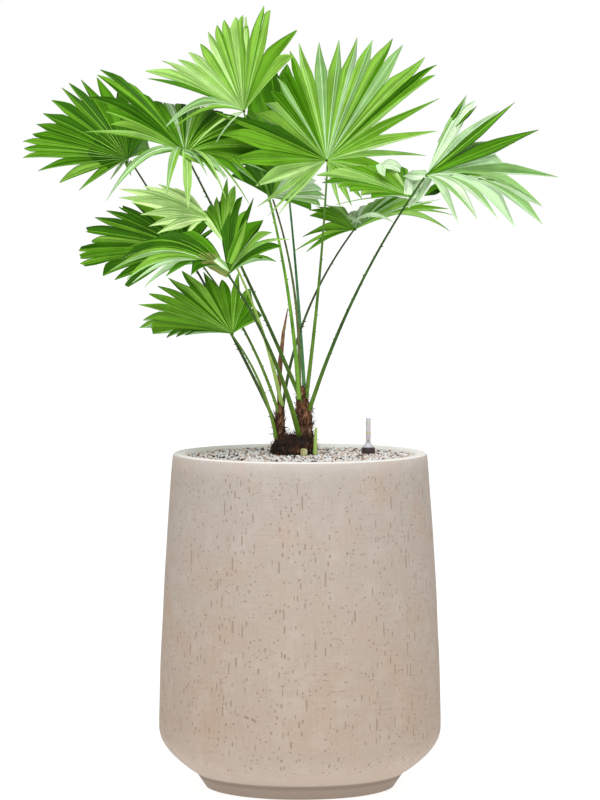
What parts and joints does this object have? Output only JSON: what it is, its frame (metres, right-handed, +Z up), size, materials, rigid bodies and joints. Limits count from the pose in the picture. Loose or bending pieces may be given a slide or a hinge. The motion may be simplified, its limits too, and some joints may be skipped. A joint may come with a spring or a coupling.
{
  "type": "potted footstool palm",
  "caption": "Fan palm with pleated, split fronds on long spiny stalks, in a tall round concrete pot with a gravel top and a water gauge.",
  "frame": {"origin": "centre of the pot's flat underside, on the surface that it stands on", "axes": "+Z up through the pot, -Y towards the viewer of the front, +X to the viewer's right"},
  "size_m": [0.964, 0.6379, 1.406],
  "materials": {
    "concrete": "matte, flecked with short upright pits",
    "gravel": "matte, mixed pale and dark grains",
    "bark": "rough, fibrous",
    "fibre": "rough, matted fibre",
    "leaf": "satin, pleated",
    "stalk": "satin",
    "dark_stalk": "satin",
    "young_leaf": "matte",
    "cut_wood": "matte",
    "dark_plastic": "matte",
    "clear_plastic": "clear, slightly frosted",
    "red_plastic": "gloss"
  },
  "bodies": {
    "root": {"pot": "concrete", "gravel": "gravel", "left_stem": "bark", "right_stem": "bark", "root_crown": "fibre", "frond_big": "leaf", "frond_top": "leaf", "frond_farleft": "leaf", "frond_upperleft": "leaf", "frond_light": "leaf", "frond_mid_left": "leaf", "frond_mid_right": "leaf", "frond_left": "leaf", "frond_low": "leaf", "frond_rightmid": "leaf", "frond_right_outer": "leaf", "frond_right_inner": "leaf", "frond_centre": "leaf", "frond_back": "leaf", "petiole_big": "stalk", "petiole_top": "stalk", "petiole_farleft": "dark_stalk", "petiole_upperleft": "stalk", "petiole_light": "stalk", "petiole_mid": "stalk", "petiole_left": "stalk", "petiole_low": "stalk", "petiole_rightmid": "dark_stalk", "petiole_right": "stalk", "petiole_centre": "stalk", "petiole_back": "stalk", "spear_leaf": "young_leaf", "green_stub": "stalk", "cut_stub": "cut_wood", "gauge_collar": "dark_plastic", "gauge_shoulder": "clear_plastic", "gauge_tube": "clear_plastic", "gauge_float": "red_plastic"}
  },
  "joints": []
}
